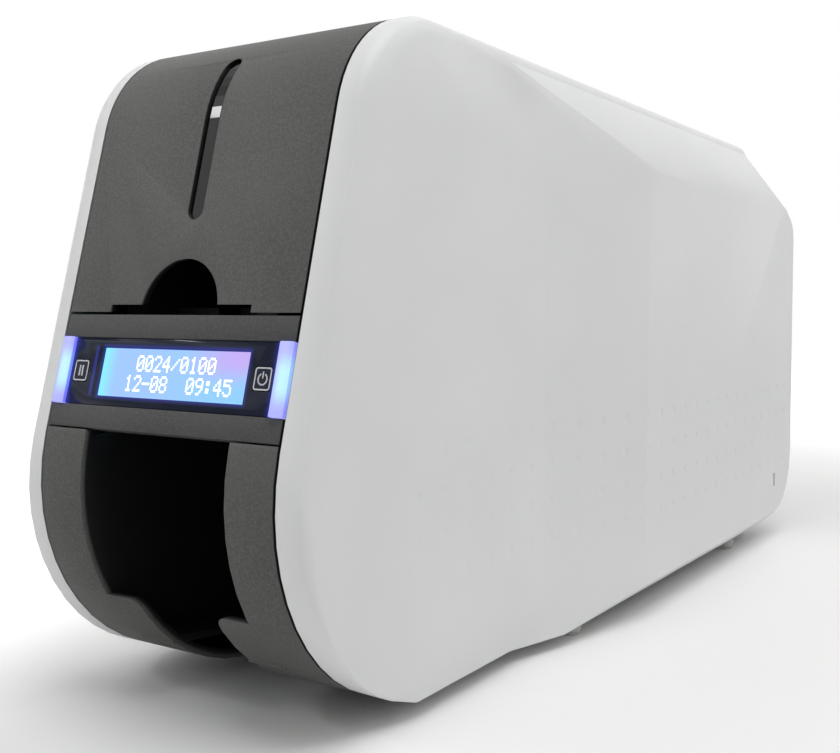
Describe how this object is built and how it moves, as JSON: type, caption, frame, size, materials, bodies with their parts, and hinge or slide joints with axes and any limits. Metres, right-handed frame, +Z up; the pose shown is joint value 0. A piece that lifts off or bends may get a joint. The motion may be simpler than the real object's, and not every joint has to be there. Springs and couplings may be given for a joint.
{
  "type": "id card printer",
  "caption": "Narrow desktop ID card printer: white side panels, dark hinged covers, lit display strip, pull-off output stacker, and the card and ribbon transport inside.",
  "frame": {"origin": "centre of the footprint, on the table under the feet", "axes": "+X across the machine to its right side as its user sees it, -Y towards the front, +Z up"},
  "size_m": [0.152, 0.404, 0.2095],
  "materials": {
    "panel_white": "satin",
    "cover_grey": "fine texture",
    "lens_black": "polished",
    "window_smoke": "polished",
    "lcd_light": "lit",
    "led_light": "lit",
    "key_black": "polished",
    "steel_plate": "brushed",
    "shaft_steel": "ground",
    "roller_rubber": "matte",
    "foot_rubber": "matte",
    "gear_nylon": "satin",
    "brass": "satin",
    "board_green": "solder mask",
    "socket_metal": "satin",
    "socket_black": "satin",
    "inner_black": "satin",
    "head_alloy": "satin",
    "ribbon_black": "film"
  },
  "bodies": {
    "body": {"left_side_panel": "panel_white", "right_side_panel": "panel_white", "base_plate": "cover_grey", "feet": "foot_rubber", "left_chassis_plate": "steel_plate", "right_chassis_plate": "steel_plate", "tie_bars": "shaft_steel", "shaft_bushes": "brass", "screws": "shaft_steel", "rear_cover": "cover_grey", "power_socket": "socket_black", "usb_socket": "socket_metal", "network_socket": "socket_metal", "main_board": "board_green", "hinge_pins": "shaft_steel", "display_bezel": "cover_grey", "display_lens": "lens_black", "lcd_module": "lcd_light", "led_bar_left": "led_light", "led_bar_right": "led_light", "display_board": "board_green", "exit_guide": "inner_black", "hopper_tray": "inner_black", "card_guide": "steel_plate", "idler_studs": "shaft_steel", "drive_motor": "steel_plate", "ribbon_cassette": "gear_nylon", "ribbon_film": "ribbon_black"},
    "hopper_cover": {"hopper_cover": "cover_grey", "hopper_window": "window_smoke"},
    "top_cover": {"top_cover": "cover_grey", "head_bracket": "steel_plate", "head_springs": "shaft_steel"},
    "release_button": {"release_button": "cover_grey"},
    "pause_key": {"pause_key": "key_black"},
    "power_key": {"power_key": "key_black"},
    "output_stacker": {"output_stacker": "cover_grey"},
    "card_weight": {"card_weight": "inner_black"},
    "print_head": {"print_head": "head_alloy"},
    "motor_pinion": {"motor_pinion": "brass"},
    "rear_idler": {"rear_idler": "gear_nylon"},
    "platen_idler": {"platen_idler": "gear_nylon"},
    "pick_idler": {"pick_idler": "gear_nylon"},
    "exit_idler": {"exit_idler": "gear_nylon"},
    "ribbon_idler": {"ribbon_idler": "gear_nylon"},
    "platen_roller": {"platen_roller": "roller_rubber", "platen_gear": "gear_nylon"},
    "rear_roller": {"rear_roller": "roller_rubber", "rear_gear": "gear_nylon"},
    "feed_roller": {"feed_roller": "roller_rubber", "feed_gear": "gear_nylon"},
    "pick_roller": {"pick_roller": "roller_rubber", "pick_gear": "gear_nylon"},
    "exit_roller": {"exit_roller": "roller_rubber", "exit_gear": "gear_nylon"},
    "take_up_spool": {"take_up_spool": "ribbon_black"},
    "supply_spool": {"supply_spool": "ribbon_black"},
    "cleaning_roller": {"cleaning_roller": "roller_rubber"},
    "rear_pinch_roller": {"rear_pinch_roller": "roller_rubber"}
  },
  "joints": [
    {"name": "hopper_cover_hinge", "type": "hinge", "parent": "body", "child": "hopper_cover", "pos_m": [0, -0.09, 0.2015], "axis": [-1, 0, 0], "range_deg": [0, 70]},
    {"name": "top_cover_hinge", "type": "hinge", "parent": "body", "child": "top_cover", "pos_m": [0, 0.126, 0.2015], "axis": [-1, 0, 0], "range_deg": [0, 65]},
    {"name": "release_button_travel", "type": "slide", "parent": "top_cover", "child": "release_button", "axis": [0, 0, -1], "range_m": [0, 0.0025], "stiffness_N_per_m": 400},
    {"name": "pause_key_travel", "type": "slide", "parent": "body", "child": "pause_key", "axis": [0, 0.9659, -0.2588], "range_m": [0, 0.0006], "stiffness_N_per_m": 900},
    {"name": "power_key_travel", "type": "slide", "parent": "body", "child": "power_key", "axis": [0, 0.9659, -0.2588], "range_m": [0, 0.0006], "stiffness_N_per_m": 900},
    {"name": "output_stacker_slide", "type": "slide", "parent": "body", "child": "output_stacker", "axis": [0, -1, 0], "range_m": [0, 0.09]},
    {"name": "card_weight_slide", "type": "slide", "parent": "body", "child": "card_weight", "axis": [0, 0, 1], "range_m": [0, 0.04]},
    {"name": "print_head_float", "type": "slide", "parent": "top_cover", "child": "print_head", "axis": [0, 0, 1], "range_m": [0, 0.0015], "stiffness_N_per_m": 900, "deforming": ["head_springs"]},
    {"name": "motor_shaft", "type": "hinge", "parent": "body", "child": "motor_pinion", "pos_m": [0, 0.021, 0.0823], "axis": [1, 0, 0], "continuous": true},
    {"name": "rear_idler_turn", "type": "hinge", "parent": "body", "child": "rear_idler", "pos_m": [0, 0.021, 0.1053], "axis": [1, 0, 0], "continuous": true},
    {"name": "platen_turn", "type": "hinge", "parent": "body", "child": "platen_roller", "pos_m": [0, -0.008, 0.1048], "axis": [1, 0, 0], "continuous": true},
    {"name": "rear_roller_turn", "type": "hinge", "parent": "body", "child": "rear_roller", "pos_m": [0, 0.04999, 0.1058], "axis": [1, 0, 0], "continuous": true},
    {"name": "platen_idler_turn", "type": "hinge", "parent": "body", "child": "platen_idler", "pos_m": [0, -0.039, 0.1053], "axis": [1, 0, 0], "continuous": true},
    {"name": "feed_roller_turn", "type": "hinge", "parent": "body", "child": "feed_roller", "pos_m": [0, -0.06999, 0.1058], "axis": [1, 0, 0], "continuous": true},
    {"name": "pick_idler_turn", "type": "hinge", "parent": "body", "child": "pick_idler", "pos_m": [0, -0.09484, 0.10855], "axis": [1, 0, 0], "continuous": true},
    {"name": "pick_roller_turn", "type": "hinge", "parent": "body", "child": "pick_roller", "pos_m": [0, -0.11969, 0.1113], "axis": [1, 0, 0], "continuous": true},
    {"name": "exit_idler_turn", "type": "hinge", "parent": "body", "child": "exit_idler", "pos_m": [0, -0.08729, 0.0939], "axis": [1, 0, 0], "continuous": true},
    {"name": "exit_roller_turn", "type": "hinge", "parent": "body", "child": "exit_roller", "pos_m": [0, -0.1046, 0.082], "axis": [1, 0, 0], "continuous": true},
    {"name": "ribbon_idler_turn", "type": "hinge", "parent": "body", "child": "ribbon_idler", "pos_m": [0, -0.05328, 0.12938], "axis": [1, 0, 0], "continuous": true},
    {"name": "take_up_turn", "type": "hinge", "parent": "body", "child": "take_up_spool", "pos_m": [0, -0.064, 0.14744], "axis": [1, 0, 0], "continuous": true},
    {"name": "supply_turn", "type": "hinge", "parent": "body", "child": "supply_spool", "pos_m": [0, 0.044, 0.14744], "axis": [1, 0, 0], "continuous": true},
    {"name": "cleaning_turn", "type": "hinge", "parent": "body", "child": "cleaning_roller", "pos_m": [0, -0.06999, 0.1222], "axis": [1, 0, 0], "continuous": true},
    {"name": "rear_pinch_turn", "type": "hinge", "parent": "body", "child": "rear_pinch_roller", "pos_m": [0, 0.04999, 0.1222], "axis": [1, 0, 0], "continuous": true}
  ],
  "couplings": [
    {"joint": "motor_shaft", "follows": "platen_turn", "ratio": 2},
    {"joint": "rear_idler_turn", "follows": "platen_turn", "ratio": -0.70588},
    {"joint": "rear_roller_turn", "follows": "platen_turn", "ratio": 1},
    {"joint": "platen_idler_turn", "follows": "platen_turn", "ratio": -0.63158},
    {"joint": "feed_roller_turn", "follows": "platen_turn", "ratio": 1},
    {"joint": "pick_idler_turn", "follows": "platen_turn", "ratio": -0.92308},
    {"joint": "pick_roller_turn", "follows": "platen_turn", "ratio": 1},
    {"joint": "exit_idler_turn", "follows": "platen_turn", "ratio": -1.3333},
    {"joint": "exit_roller_turn", "follows": "platen_turn", "ratio": 1},
    {"joint": "ribbon_idler_turn", "follows": "platen_turn", "ratio": 1.3333},
    {"joint": "take_up_turn", "follows": "platen_turn", "ratio": -1},
    {"joint": "supply_turn", "follows": "platen_turn", "ratio": -0.97333},
    {"joint": "cleaning_turn", "follows": "platen_turn", "ratio": -0.6},
    {"joint": "rear_pinch_turn", "follows": "platen_turn", "ratio": -0.6}
  ]
}
